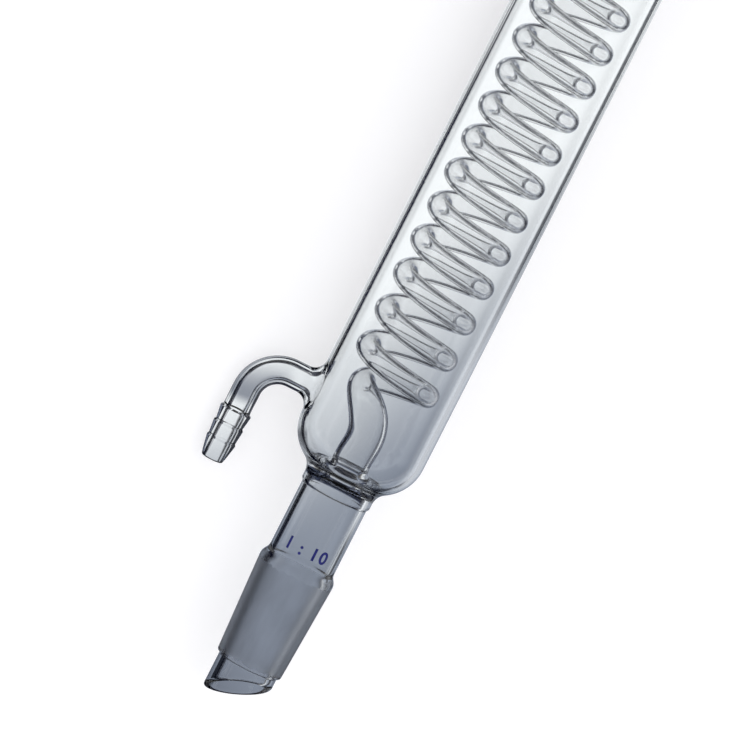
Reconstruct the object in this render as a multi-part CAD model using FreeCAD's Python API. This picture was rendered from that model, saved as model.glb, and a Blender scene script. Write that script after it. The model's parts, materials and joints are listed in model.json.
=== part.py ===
import FreeCAD, Part
import math
import os

from FreeCAD import Matrix, Placement, Rotation, Vector

# Coil condenser in millimetres: a glass jacket for cooling water with a glass coil for vapour sealed
# inside it, drawn and flame-sealed as one piece.
#
# It is drawn first in its own axis frame: z runs up the axis from the gauge ring of the ground cone,
# x points away from the hose connections and y lies across. It is then laid down as it rests on a
# bench, on the jacket and on both hose connections.

# Ground joints, size 24/29: gauge diameter, loss of diameter per length, length that is ground
joint_dia = 24.0
joint_taper = 0.1
grind_length = 31.0
cone_wall = 2.9
socket_wall = 2.3
joint_shoulder = 4.3
rim_bead = 0.7
rim_height = 3.0

# Drip tip under the cone, cut at a slant and fire polished
tip_dia = 18.9
tip_wall = 2.4
tip_step = 1.3
tip_length = 8.5
tip_slope_x = 0.39
tip_slope_y = -0.445
tip_polish = 0.9

# Necks between the joints and the ring seals
neck_dia = 21.1
neck_wall = 1.7
cone_neck_length = 25.7
socket_neck_length = 18.0

# Ring seals, where jacket, neck and drop tube are melted together
seal_dia = 22.3
seal_step = 0.7
seal_flare_height = 7.6
seal_flare_radius = 3.0
seal_groove = 1.5
seal_glass = 3.1

# Jacket, from ring seal to ring seal
jacket_dia = 40.0
jacket_wall = 1.8
jacket_length = 250.0
shoulder_radius = 13.75
shoulder_rise = 18.3
shoulder_fillet = 5.5

# Drop tubes, straight above their ring seals
drop_dia = 11.6
drop_wall = 1.1
drop_length = 11.5

# Coil, wound left-handed, with its end turns drawn out a little
coil_dia = 29.7
tube_dia = 7.1
tube_wall = 1.0
coil_pitch = 11.07
end_pitch = 12.1
end_turns = 3.0
coil_end_height = 34.9
coil_end_angle = 110.0
stretches_per_turn = 12

# Bends from the coil's ends into the drop tubes, which swing past the axis and widen on their way
bend_coil_side = 14.6
bend_swing = 15.5
bend_swing_height = 18.1
bend_drop_side = 8.4
bend_taper_share = 0.6
bend_stretches = 14

# Hose connections: tube, hook towards the cone, and the ridged end
arm_dia = 8.6
arm_bore = 4.8
arm_height = 26.4
arm_reach = 37.4
arm_bend = 10.2
arm_leg = 6.7
arm_fillet = 4.0
arm_inner_fillet = 4.4
barb_ridge_dias = (10.0, 9.6, 9.4)
barb_valley_dia = 8.7
barb_nose_dia = 6.9
barb_rise = 1.5
barb_taper = 3.4
barb_nose_length = 6.3

# Sizes and heights that follow from those above
jacket_radius = jacket_dia / 2
jacket_inner = jacket_radius - jacket_wall
neck_radius = neck_dia / 2
neck_inner = neck_radius - neck_wall
seal_radius = seal_dia / 2
drop_radius = drop_dia / 2
drop_inner = drop_radius - drop_wall
tube_radius = tube_dia / 2
tube_inner = tube_radius - tube_wall
coil_radius = (coil_dia - tube_dia) / 2
gauge_radius = joint_dia / 2
ground_end_radius = gauge_radius - joint_taper * grind_length / 2
lower_seal = cone_neck_length
upper_seal = lower_seal + jacket_length
middle = (lower_seal + upper_seal) / 2
shoulder_centre_r = jacket_radius - shoulder_radius
shoulder_centre_z = lower_seal + shoulder_rise
lower_stub = lower_seal + drop_length
upper_stub = upper_seal - drop_length
socket_neck_top = upper_seal + socket_neck_length
socket_bottom = socket_neck_top + joint_shoulder
mouth = socket_bottom + grind_length
lower_arm = lower_seal + arm_height
upper_arm = upper_seal - arm_height
barb_top_drop = arm_bend + arm_leg
barb_length = len(barb_ridge_dias) * (barb_rise + barb_taper) - barb_taper + barb_nose_length
tip_low = -(grind_length + tip_length + tip_dia)

# The roll about the axis at which the jacket and the widest ridges touch one bench
barb_ridge_radius = max(barb_ridge_dias) / 2
rest_roll = math.asin((jacket_radius - barb_ridge_radius) / arm_reach)

AXIS = Vector(0, 0, 1)
ORIGIN = Vector(0, 0, 0)


def at(radius, height):
    return Vector(radius, 0, height)


def straight(start, end):
    return Part.LineSegment(at(*start), at(*end)).toShape()


def rounded(start, end, centre):
    """An arc about a centre, the short way round."""
    pivot = at(*centre)
    first = at(*start) - pivot
    last = at(*end) - pivot
    halfway = first + last
    halfway.normalize()
    return Part.Arc(at(*start), pivot + halfway * first.Length, at(*end)).toShape()


def eased(start, end):
    """An S-curve that leaves and arrives along the axis."""
    half = (start[1] + end[1]) / 2
    curve = Part.BezierCurve()
    curve.setPoles([at(*start), at(start[0], half), at(end[0], half), at(*end)])
    return curve.toShape()


def path(points):
    return [straight(a, b) for a, b in zip(points, points[1:])]


def mirrored(edges):
    """The same edges at the other end of the jacket."""
    return [edge.mirror(at(0, middle), AXIS) for edge in edges]


def turned(edges):
    """The solid that a closed half section makes about the axis."""
    outline = Part.Wire(Part.__sortEdges__(edges))
    return Part.Face(outline).revolve(ORIGIN, AXIS, 360)


def shoulder_outline():
    """Outside of the lower ring seal and shoulder, from the neck up to the jacket."""
    reach = shoulder_radius + shoulder_fillet
    fillet_r = seal_radius + shoulder_fillet
    drop = math.sqrt(reach**2 - (fillet_r - shoulder_centre_r) ** 2)
    fillet_z = shoulder_centre_z - drop
    share = shoulder_radius / reach
    tangent = (
        shoulder_centre_r + (fillet_r - shoulder_centre_r) * share,
        shoulder_centre_z - drop * share,
    )
    bead = (seal_radius, lower_seal + seal_step)
    foot = (seal_radius, fillet_z)
    return [
        eased((neck_radius, lower_seal - seal_step), bead),
        straight(bead, foot),
        rounded(foot, tangent, (fillet_r, fillet_z)),
        rounded(tangent, (jacket_radius, shoulder_centre_z), (shoulder_centre_r, shoulder_centre_z)),
    ]


def outside():
    """The outer form without the hose connections, filled."""
    rim = gauge_radius + socket_wall
    bead = rim + rim_bead
    lower = path([(0, tip_low), (tip_dia / 2, tip_low), (tip_dia / 2, -grind_length - tip_step)])
    lower += [
        eased((tip_dia / 2, -grind_length - tip_step), (ground_end_radius, -grind_length)),
        straight((ground_end_radius, -grind_length), (gauge_radius, 0)),
        eased((gauge_radius, 0), (neck_radius, joint_shoulder)),
        straight((neck_radius, joint_shoulder), (neck_radius, lower_seal - seal_step)),
    ]
    jacket = straight((jacket_radius, shoulder_centre_z), (jacket_radius, 2 * middle - shoulder_centre_z))
    socket_foot = (ground_end_radius + socket_wall, socket_bottom)
    polish = min(socket_wall, rim_height) / 2
    upper = [
        straight((neck_radius, upper_seal + seal_step), (neck_radius, socket_neck_top)),
        eased((neck_radius, socket_neck_top), socket_foot),
        straight(socket_foot, (rim, mouth - rim_height)),
        eased((rim, mouth - rim_height), (bead, mouth - polish)),
        rounded((bead, mouth - polish), (bead - polish, mouth), (bead - polish, mouth - polish)),
    ]
    upper += path([(bead - polish, mouth), (0, mouth), (0, tip_low)])
    return turned(lower + shoulder_outline() + [jacket] + mirrored(shoulder_outline()) + upper)


def water_space():
    """The inside of the jacket, between the ring seals and round the drop tubes."""
    flare_r = drop_radius + seal_flare_radius
    flare_z = lower_seal + seal_flare_height
    inner_radius = shoulder_radius - jacket_wall
    groove_r = flare_r + seal_groove
    sink = math.sqrt(inner_radius**2 - (groove_r - shoulder_centre_r) ** 2)
    groove = (groove_r, shoulder_centre_z - sink)
    lower = path([(0, lower_stub), (drop_radius, lower_stub), (drop_radius, flare_z + seal_flare_radius)])
    lower += [
        rounded(
            (drop_radius, flare_z + seal_flare_radius),
            (flare_r, flare_z),
            (flare_r, flare_z + seal_flare_radius),
        ),
        straight((flare_r, flare_z), groove),
        rounded(groove, (jacket_inner, shoulder_centre_z), (shoulder_centre_r, shoulder_centre_z)),
    ]
    wall = straight((jacket_inner, shoulder_centre_z), (jacket_inner, 2 * middle - shoulder_centre_z))
    axis = straight((0, lower_stub), (0, upper_stub))
    return turned(lower + [wall] + mirrored(lower) + [axis])


def drop_bore():
    """Section edges of the vapour way, from the top of the lower drop tube out to the neck."""
    flare_z = lower_seal + seal_flare_height - seal_glass
    flare_r = drop_inner + seal_flare_radius
    lip = neck_inner - flare_r
    return path([(0, lower_stub), (drop_inner, lower_stub), (drop_inner, flare_z + seal_flare_radius)]) + [
        rounded(
            (drop_inner, flare_z + seal_flare_radius),
            (flare_r, flare_z),
            (flare_r, flare_z + seal_flare_radius),
        ),
        rounded((flare_r, flare_z), (neck_inner, flare_z - lip), (flare_r, flare_z - lip)),
    ], flare_z - lip


def vapour_ways():
    """The bores at both ends, from the drop tubes out through the cone and the socket."""
    edges, neck_z = drop_bore()
    tip_inner = tip_dia / 2 - tip_wall
    cone_inner = gauge_radius - cone_wall
    cone_end_inner = ground_end_radius - cone_wall
    lower = edges + [
        straight((neck_inner, neck_z), (neck_inner, joint_shoulder)),
        eased((neck_inner, joint_shoulder), (cone_inner, 0)),
        straight((cone_inner, 0), (cone_end_inner, -grind_length)),
        eased((cone_end_inner, -grind_length), (tip_inner, -grind_length - tip_step)),
    ]
    lower += path([(tip_inner, -grind_length - tip_step), (tip_inner, tip_low), (0, tip_low), (0, lower_stub)])
    upper = mirrored(edges) + [
        straight((neck_inner, 2 * middle - neck_z), (neck_inner, socket_neck_top)),
        eased((neck_inner, socket_neck_top), (ground_end_radius, socket_bottom)),
        straight((ground_end_radius, socket_bottom), (gauge_radius, mouth)),
    ]
    upper += path([(gauge_radius, mouth), (0, mouth), (0, upper_stub)])
    return turned(lower), turned(upper)


def arm_tube(height, radius, start):
    """A hooked round bar along the middle of a hose connection, down to its ridged end."""
    turn = -(arm_reach - arm_bend)
    corner = arm_bend * math.sqrt(0.5)
    half = Vector(turn - corner, 0, height - arm_bend + corner)
    knee = Vector(-arm_reach, 0, height - arm_bend)
    line = Part.LineSegment(Vector(-start, 0, height), Vector(turn, 0, height))
    bend = Part.Arc(Vector(turn, 0, height), half, knee)
    leg = Part.LineSegment(knee, Vector(-arm_reach, 0, height - barb_top_drop))
    spine = Part.Wire([line.toShape(), bend.toShape(), leg.toShape()])
    section = Part.Wire(Part.makeCircle(radius, Vector(-start, 0, height), Vector(-1, 0, 0)))
    return spine.makePipeShell([section], True, True)


def barb(height):
    """The ridged end, which grips a hose."""
    level = 0.0
    points = [(0, level), (arm_dia / 2, level)]
    for ridge in barb_ridge_dias:
        level -= barb_rise
        points.append((ridge / 2, level))
        level -= barb_taper
        points.append((barb_valley_dia / 2, level))
    level = -barb_length
    points[-1] = (barb_nose_dia / 2, level)
    points.append((0, level))
    points.append((0, 0))
    ridged = turned(path(points))
    ridged.translate(Vector(-arm_reach, 0, height - barb_top_drop))
    return ridged


def root_edges(solid, height, tube, wall):
    """The edges where a hose tube of one radius meets a jacket wall of another."""
    margin = tube / 10
    nearest = -math.sqrt(wall**2 - tube**2) + margin
    found = []
    for edge in solid.Edges:
        box = edge.BoundBox
        level = abs(box.ZMax - height) < tube + margin and abs(box.ZMin - height) < tube + margin
        across = box.YMax < tube + margin and box.YMin > -tube - margin
        if level and across and box.XMin > -wall - margin and box.XMax < nearest:
            found.append(edge)
    return found


def arm_outer(envelope, height):
    """The form with one hose connection grown from the jacket."""
    grown = envelope.fuse(arm_tube(height, arm_dia / 2, jacket_inner))
    grown = grown.makeFillet(arm_fillet, root_edges(grown, height, arm_dia / 2, jacket_radius))
    return grown.fuse(barb(height))


def arm_inner(space, height):
    """The water space with the bore of one hose connection."""
    opened = space.fuse(arm_tube(height, arm_bore / 2, jacket_inner / 2))
    opened = opened.makeFillet(arm_inner_fillet, root_edges(opened, height, arm_bore / 2, jacket_inner))
    foot = Vector(-arm_reach, 0, height - barb_top_drop)
    return opened.fuse(Part.makeCylinder(arm_bore / 2, 2 * barb_length, foot, -AXIS))


def cut_tip(body):
    """Cuts the drip tip at its slant and polishes the rim."""
    facing = Vector(tip_slope_x, tip_slope_y, -1)
    facing.normalize()
    centre = Vector(0, 0, -grind_length - tip_length)
    waste = Part.makeCylinder(joint_dia, joint_dia, centre, facing)
    body = body.cut(waste)
    rim = [face for face in body.Faces if is_flat(face, centre, facing)]
    polish = min(tip_polish, tip_wall * 0.4)
    return body.makeFillet(polish, rim[0].Edges)


def is_flat(face, centre, facing):
    """Whether a face is the plane through a point that faces a way."""
    if not isinstance(face.Surface, Part.Plane):
        return False
    away = abs((face.CenterOfMass - centre).dot(facing))
    return away < 0.01 and abs(face.normalAt(0, 0).dot(facing)) > 0.999


def coil_height(turns, total):
    """Height above the first turn's start, where the end turns are wider apart than the rest."""
    wide = min(turns, end_turns) + max(0.0, turns - (total - end_turns))
    return wide * end_pitch + (turns - wide) * coil_pitch


def coil_turns():
    """How many turns fill the height between the bends."""
    height = jacket_length - 2 * coil_end_height
    return 2 * end_turns + (height - 2 * end_turns * end_pitch) / coil_pitch


def coil_spot(turns):
    """Where the middle of the tube is, so many turns up the coil."""
    angle = math.radians(coil_end_angle) - 2 * math.pi * turns
    height = lower_seal + coil_end_height + coil_height(turns, coil_turns())
    return Vector(coil_radius * math.cos(angle), coil_radius * math.sin(angle), height)


def coil_heading(turns):
    """The way the tube runs there, going up."""
    angle = math.radians(coil_end_angle) - 2 * math.pi * turns
    near_end = min(turns, coil_turns() - turns) < end_turns
    climb = (end_pitch if near_end else coil_pitch) / (2 * math.pi)
    heading = Vector(coil_radius * math.sin(angle), -coil_radius * math.cos(angle), climb)
    heading.normalize()
    return heading


def bend_curve(turns, heading, stub_height, outwards):
    """The middle of the bend from one end of the coil into its drop tube."""
    start = coil_spot(turns)
    stub = Vector(0, 0, stub_height)
    across = Vector(start.x, start.y, 0)
    across.normalize()
    swing = stub + outwards * bend_swing_height - across * bend_swing
    curve = Part.BezierCurve()
    curve.setPoles([start, start + heading * bend_coil_side, swing, stub + outwards * bend_drop_side, stub])
    return curve


def tube_run():
    """Stations along the tube, from the lower drop tube through the coil to the upper one.

    Each has its middle, its heading and how far it is on its way from coil to drop tube.
    """
    total = coil_turns()
    lower = bend_curve(0, -coil_heading(0), lower_stub, AXIS)
    upper = bend_curve(total, coil_heading(total), upper_stub, -AXIS)
    stations = []
    for step in range(bend_stretches, 0, -1):
        share = step / bend_stretches
        stations.append((lower.value(share), -lower.tangent(share)[0], share))
    count = round(total * stretches_per_turn)
    for step in range(count + 1):
        turns = total * step / count
        stations.append((coil_spot(turns), coil_heading(turns), 0.0))
    for step in range(1, bend_stretches + 1):
        share = step / bend_stretches
        stations.append((upper.value(share), upper.tangent(share)[0], share))
    return stations


def ring(centre, along, side, radius):
    """A circle across a direction, which starts on the given side."""
    along = Vector(along)
    along.normalize()
    side = side - along * side.dot(along)
    side.normalize()
    across = along.cross(side)
    matrix = Matrix(
        side.x, across.x, along.x, centre.x,
        side.y, across.y, along.y, centre.y,
        side.z, across.z, along.z, centre.z,
        0, 0, 0, 1,
    )
    circle = Part.Circle(ORIGIN, AXIS, radius).toShape()
    circle.Placement = Placement(matrix)
    return circle


def turn_about(vector, axis, angle):
    return Rotation(axis, math.degrees(angle)).multVec(vector)


def tube_sides(stations):
    """Where each ring along the tube starts, with no sudden twist and on +x in both drop tubes."""
    seam = Vector(1, 0, 0)
    sides = [seam]
    for (_, along, _), (_, next_along, _) in zip(stations, stations[1:]):
        side = Rotation(along, next_along).multVec(sides[-1])
        side = side - next_along * side.dot(next_along)
        side.normalize()
        sides.append(side)
    last = stations[-1][1]
    twist = math.atan2(sides[-1].cross(seam).dot(last), sides[-1].dot(seam))
    start = len(stations) - 1 - bend_stretches
    for step in range(start, len(stations)):
        share = (step - start) / bend_stretches
        sides[step] = turn_about(sides[step], stations[step][1], twist * share)
    return sides


def tube_size(share, coil_size, drop_size):
    """The radius on the way from the coil to a drop tube."""
    grown = min(1.0, share / bend_taper_share)
    grown = grown * grown * (3 - 2 * grown)
    return coil_size + (drop_size - coil_size) * grown


def tube_wall(coil_size, drop_size):
    """One surface of the tube, in short stretches between rings."""
    stations = tube_run()
    rings = []
    for (spot, along, share), side in zip(stations, tube_sides(stations)):
        rings.append(ring(spot, along, side, tube_size(share, coil_size, drop_size)))
    return [Part.makeRuledSurface(near, far, 1) for near, far in zip(rings, rings[1:])]


def glass_body():
    """Everything but the coil: jacket, seals, necks, joints, drop tubes and hose connections."""
    envelope = outside()
    space = water_space()
    for height in (lower_arm, upper_arm):
        envelope = arm_outer(envelope, height)
        space = arm_inner(space, height)
    lower_way, upper_way = vapour_ways()
    body = envelope.cut(space.fuse([lower_way, upper_way]))
    return cut_tip(body)


def with_coil(body):
    """Joins the coil's surfaces to the open ends of the drop tubes, which makes one closed solid."""
    ends = [(Vector(0, 0, lower_stub), AXIS), (Vector(0, 0, upper_stub), AXIS)]
    kept = [face for face in body.Faces if not any(is_flat(face, *end) for end in ends)]
    bore = tube_wall(tube_inner, drop_inner)
    shell = Part.makeShell(kept + tube_wall(tube_radius, drop_radius) + bore)
    shell.sewShape()
    solid = Part.makeSolid(shell)
    if solid.Volume < 0:
        solid.reverse()
    return solid


def laid_down(solid):
    """Lays the axis along X, socket towards +X, with the hose connections down to the bench."""
    sink = math.sin(rest_roll)
    level = math.cos(rest_roll)
    matrix = Matrix(
        0, 0, 1, 0,
        -level, -sink, 0, 0,
        sink, -level, 0, 0,
        0, 0, 0, 1,
    )
    return solid.transformed(matrix)


def main():
    os.makedirs("parts", exist_ok=True)
    condenser = laid_down(with_coil(glass_body()))
    condenser.exportStep("parts/coil_condenser.step")


if __name__ == "__main__":
    main()
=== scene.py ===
"""Coil condenser in blown glass, lying on a pale bench."""

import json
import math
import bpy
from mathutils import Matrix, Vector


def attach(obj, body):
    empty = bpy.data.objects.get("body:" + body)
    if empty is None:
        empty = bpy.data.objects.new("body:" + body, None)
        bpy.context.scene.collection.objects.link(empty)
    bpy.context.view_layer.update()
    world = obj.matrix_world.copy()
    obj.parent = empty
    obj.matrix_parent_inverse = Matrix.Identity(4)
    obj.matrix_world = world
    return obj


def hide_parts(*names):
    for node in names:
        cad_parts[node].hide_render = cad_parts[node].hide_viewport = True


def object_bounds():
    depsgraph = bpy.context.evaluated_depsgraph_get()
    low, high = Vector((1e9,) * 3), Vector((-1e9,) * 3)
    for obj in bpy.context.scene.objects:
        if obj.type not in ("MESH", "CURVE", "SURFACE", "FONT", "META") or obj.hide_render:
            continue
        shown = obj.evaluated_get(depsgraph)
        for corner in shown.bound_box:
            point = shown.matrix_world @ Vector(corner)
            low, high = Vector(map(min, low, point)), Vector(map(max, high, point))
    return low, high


bl_info = {
    "name": "Coil condenser",
    "version": (1, 0, 0),
    "blender": (4, 5, 0),
    "location": "3D View > Sidebar > Condenser",
    "description": "Blows a laboratory coil condenser, prints its mark and sets up a studio round it",
    "category": "Object",
}

import bmesh
import bpy
from bpy.props import FloatProperty, FloatVectorProperty, IntProperty, PointerProperty, StringProperty
from bpy.types import Operator, Panel, PropertyGroup
from mathutils import Matrix, Vector

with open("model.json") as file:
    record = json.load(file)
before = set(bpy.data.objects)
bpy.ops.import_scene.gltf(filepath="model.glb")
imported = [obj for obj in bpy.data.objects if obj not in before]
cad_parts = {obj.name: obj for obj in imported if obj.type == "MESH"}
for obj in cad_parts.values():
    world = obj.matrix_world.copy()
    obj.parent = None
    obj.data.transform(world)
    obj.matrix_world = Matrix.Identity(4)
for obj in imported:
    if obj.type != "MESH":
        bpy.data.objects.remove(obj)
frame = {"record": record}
CAD_BOX = [list(corner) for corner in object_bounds()]
MOUNTS = {mount["name"]: mount for mount in frame["record"]["mounts"]}
MM = 0.001

# How finely the surfaces are divided
AXIS_SIDES = 96
TUBE_SIDES = 32
HOLE_COLUMNS = 7
LONG_GAP = 9.0 * MM
GROUND_GAP = 3.0 * MM
TIP_GAP = 0.8 * MM
FADE_GAP = 0.3 * MM
EDGE_LEAD = 0.35 * MM

# How ground the ends of the cone's ground surface are, and how wide the edge of the socket's mouth is
EDGE_GROUND = 0.2
MOUTH_EDGE = 0.2 * MM

# Rows of a jacket wall round a hose connection, from its middle
HOLE_ROWS = [row * MM for row in (-8.1, -6.1, -4.1, -2.05, 0.0, 2.05, 4.1, 6.1, 8.1, 9.7)]

# Steps of a hook along its straight start
HOOK_GAP = 1.2 * MM

# How far along the way to a corner the poles of a round bend stand
ARC_PULL = 0.5523

# Edges sharper than this stay sharp
SHARP_EDGE = math.radians(38)

# The printed mark, from a numeral's share of the font's size to the enamel's clearance over the glass
NUMERAL_SHARE = 0.72
LETTER_SPACING = 1.15
MARK_CUTS = 24
MARK_THICKNESS = 0.05 * MM
MARK_CLEARANCE = 0.02 * MM

# How finely a numeral's curves are divided
NUMERAL_STEPS = 6


def distance(name, default, description):
    return FloatProperty(name=name, description=description, default=default, unit="LENGTH", precision=5)


def colour(name, default, description):
    return FloatVectorProperty(
        name=name, description=description, default=default, subtype="COLOR", size=4, min=0.0, max=1.0
    )


def share(name, default, description):
    return FloatProperty(
        name=name, description=description, default=default, min=0.0, max=1.0, subtype="FACTOR"
    )


def number(name, default, description):
    return FloatProperty(name=name, description=description, default=default)


def rotation(name, degrees, description):
    return FloatProperty(name=name, description=description, default=math.radians(degrees), unit="ROTATION")


def mount_size(mount, size="r_mm"):
    """A size of one of the frame's mounts, in metres."""
    return MOUNTS[mount]["dims"][size] * MM


class JointSizes(PropertyGroup):
    gauge_radius: distance("Gauge radius", mount_size("ground_cone"), "Widest radius of both ground joints")
    ground_length: distance("Ground length", mount_size("ground_cone", "length_mm"), "Length that is ground")
    ground_fade: distance("Ground fade", 0.0012, "How far the grinding fades at its ends")
    taper: number("Taper", 0.05, "Loss of radius per length")
    cone_wall: distance("Cone wall", 0.0029, "Glass of the ground cone")
    socket_wall: distance("Socket wall", 0.0023, "Glass of the ground socket")
    shoulder: distance("Shoulder", 0.0043, "Height of the shoulder between joint and neck")
    rim_bead: distance("Rim bead", 0.0007, "How far the socket's rim stands out")
    rim_height: distance("Rim height", 0.003, "Height of the socket's rim")
    tip_radius: distance("Tip radius", 0.00945, "Outer radius of the drip tip")
    tip_wall: distance("Tip wall", 0.0024, "Glass of the drip tip")
    tip_step: distance("Tip step", 0.0013, "Height of the step between drip tip and cone")
    tip_length: distance("Tip length", 0.0085, "Length of the drip tip on its axis")
    tip_polish: distance("Tip polish", 0.0009, "Rounding of the fire-polished rim")
    tip_slope_x: number("Tip slope across", 0.39, "Slant of the cut, away from the hoses")
    tip_slope_y: number("Tip slope front", -0.445, "Slant of the cut, towards the back")


class JacketSizes(PropertyGroup):
    radius: distance("Radius", mount_size("jacket_grip"), "Outer radius of the jacket")
    wall: distance("Wall", 0.0018, "Glass of the jacket")
    lower_seal: distance("Lower seal", 0.0257, "Height of the lower ring seal over the gauge plane")
    length: distance("Length", 0.25, "From ring seal to ring seal")
    neck_radius: distance("Neck radius", 0.01055, "Outer radius of both necks")
    neck_wall: distance("Neck wall", 0.0017, "Glass of both necks")
    upper_neck: distance("Upper neck", 0.018, "Length of the neck under the socket")
    seal_radius: distance("Seal radius", 0.01115, "Outer radius of the ring seals")
    seal_step: distance("Seal step", 0.0007, "Half the height of the swell at a ring seal")
    shoulder_radius: distance("Shoulder radius", 0.01375, "Rounding of the jacket's shoulders")
    shoulder_rise: distance("Shoulder rise", 0.0183, "Height of a shoulder over its seal")
    shoulder_fillet: distance("Shoulder fillet", 0.0055, "Hollow between a seal and its shoulder")
    flare_height: distance("Flare height", 0.0076, "Where a drop tube opens out, over its seal")
    flare_radius: distance("Flare radius", 0.003, "Rounding of a drop tube's opening")
    seal_groove: distance("Seal groove", 0.0015, "Width of the flat round a drop tube's opening")
    seal_glass: distance("Seal glass", 0.0031, "Glass between the two sides of a ring seal")


class CoilSizes(PropertyGroup):
    winding_radius: distance("Winding radius", 0.0113, "From the axis to the middle of the tube")
    tube_radius: distance("Tube radius", 0.00355, "Outer radius of the coil's tube")
    tube_wall: distance("Tube wall", 0.001, "Glass of the coil's tube")
    pitch: distance("Pitch", 0.01107, "From turn to turn")
    end_pitch: distance("End pitch", 0.0121, "From turn to turn near both ends")
    end_turns: number("End turns", 3.0, "Turns at the wider pitch")
    end_height: distance("End height", 0.0349, "From a ring seal to the end of the coil")
    end_angle: rotation("End angle", 110, "Where the coil ends")
    drop_radius: distance("Drop radius", 0.0058, "Outer radius of the drop tubes")
    drop_wall: distance("Drop wall", 0.0011, "Glass of the drop tubes")
    drop_length: distance("Drop length", 0.0115, "From a ring seal to the start of the bend")
    bend_coil_side: distance("Bend at the coil", 0.0146, "How straight the tube leaves the coil")
    bend_drop_side: distance("Bend at the drop tube", 0.0084, "How straight the tube enters the drop tube")
    bend_swing: distance("Bend swing", 0.0155, "How far the bend swings past the axis")
    bend_swing_height: distance("Bend swing height", 0.0181, "Height of that swing over the drop tube")
    bend_taper: share("Bend taper", 0.6, "Share of the bend over which the tube widens")
    stations: IntProperty(name="Stations", description="Sections of the tube per turn", default=36, min=12)


class HoseSizes(PropertyGroup):
    tube_radius: distance("Tube radius", 0.0043, "Outer radius of a hose connection")
    bore_radius: distance("Bore radius", 0.0024, "Radius of its bore")
    height: distance("Height", 0.0264, "From a ring seal to the hose connection")
    reach: distance("Reach", 0.0374, "From the axis to the middle of the ridged end")
    bend: distance("Bend", 0.0102, "Radius of the hook")
    leg: distance("Leg", 0.0067, "Plain tube between the hook and the ridges")
    fillet: distance("Root fillet", 0.004, "Rounding where the tube leaves the jacket")
    inner_fillet: distance("Inner fillet", 0.0044, "Rounding of the bore inside the jacket")
    ridge_radii: FloatVectorProperty(
        name="Ridge radii",
        description="Radii of the ridges, from the hook down",
        default=(mount_size("lower_hose_connection"), 0.0048, 0.0047),
        unit="LENGTH",
        precision=5,
    )
    ridge_rise: distance("Ridge rise", 0.0006, "Length of a ridge's steep side")
    ridge_taper: distance("Ridge taper", 0.0043, "Length of a ridge's long side")
    nose_length: distance("Nose length", 0.0063, "Length of the last taper")
    nose_radius: distance("Nose radius", 0.00345, "Radius of the nose")
    valley_radius: distance("Valley radius", 0.00435, "Radius between the ridges")
    ridge_rounding: distance("Ridge rounding", 0.00012, "Softness of the ridges after fire polishing")


class GlassFinish(PropertyGroup):
    clear: colour("Clear glass", (0.996, 0.998, 1.0, 1.0), "Tint of the clear glass")
    # Painted edge shade: the dark colour the glass takes where it turns away from the eye
    edge: colour("Painted edge shade", (0.05, 0.06, 0.10, 1.0), "Where the glass turns away from the eye")
    ground: colour("Ground glass", (0.92, 0.94, 0.97, 1.0), "Tint of the ground surfaces")
    ground_roughness: share("Ground roughness", 0.42, "How dull the ground surfaces are")
    mark: colour("Mark", (0.010, 0.014, 0.13, 1.0), "Fired blue enamel of the printed mark")
    mark_words: StringProperty(name="Mark", description="Plain numbers on the lower neck", default="1 : 10")
    mark_height: distance("Mark height", 0.0039, "Height of the printed numbers")
    mark_lift: distance("Mark lift", 0.0064, "From the gauge plane to the foot of the printed numbers")
    mark_stroke: distance("Mark stroke", 0.00014, "How much bolder than thin the numbers are drawn")


class StageLook(PropertyGroup):
    bench: colour("Bench", (0.86, 0.86, 0.87, 1.0), "Pale bench top")
    # Painted light and shade that the bench shows only through glass: white at the socket end, grey at the
    # cone end, darkest beside the cone
    glow_top: colour("Glow at the socket", (0.95, 0.985, 1.0, 1.0), "Bench through the glass, socket end")
    glow_low: colour("Glow at the cone", (0.245, 0.28, 0.345, 1.0), "Bench through the glass, cone end")
    glow_least: colour("Glow beside the cone", (0.05, 0.055, 0.08, 1.0), "Darkest spot through the glass")
    view_lean: rotation("Lean", 26.9, "Lean of the glass in the picture")
    view_rise: rotation("Rise", 7.5, "How far the camera stands towards the socket")
    picture_width: distance("Picture width", 0.2216, "Width of the picture at the glass")
    lens: FloatProperty(name="Lens", description="Focal length", default=350.0, unit="CAMERA")


# Half sections: points of radius, height, how ground the surface is, and how far it follows the slanted cut


def point(radius, height, ground=0.0, slant=0.0):
    return (radius, height, ground, slant)


# How far a surface turns away from the eye before its painted edge shade starts, by kind of surface
WIDE_RIM = 0.68
SLIM_RIM = 0.66
SEAL_RIM = 0.7
DROP_RIM = 0.42
RIDGE_RIM = 0.38
CLOSED_RIM = 0.2
DARK_RIM = -0.2
NO_RIM = 2.0

# Over how much more turning the painted edge shade comes in
RIM_WIDTH = 0.13

# Painted shade on the bore behind the lower ring seal: its height, its radius, where it narrows, up to where
# it closes the neck, and from where its thick glass is painted dark
SEAL_SPAN = (0.025, 0.04)
SEAL_BORE = 0.0089
SEAL_LIP = 0.0088
SEAL_CLOSED = 0.0308
SEAL_THICK = 0.0290

# Up to here the jacket's inside is the flat of the lower ring seal
SEAL_FLAT = 0.0345

# A band of painted shade round the front of the lower ring seal: its height, lean and half its width
BAND_HEIGHT = 0.0290
BAND_LEAN = 0.0015
BAND_HALF = 0.0010
BAND_START = -0.1
BAND_END = 0.65

# Painted light: on the side away from the hoses, the painted edge shade is held back, so that those edges
# look lit, up to this height, fading in below it
LIGHT_TOP = 0.125
LIGHT_FADE = 0.07
LIGHT_SIDE = 0.3
LIGHT_SIDE_FADE = 0.5
LIGHT_RIM = 0.32


def clamped(value):
    return min(1.0, max(0.0, value))


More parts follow.
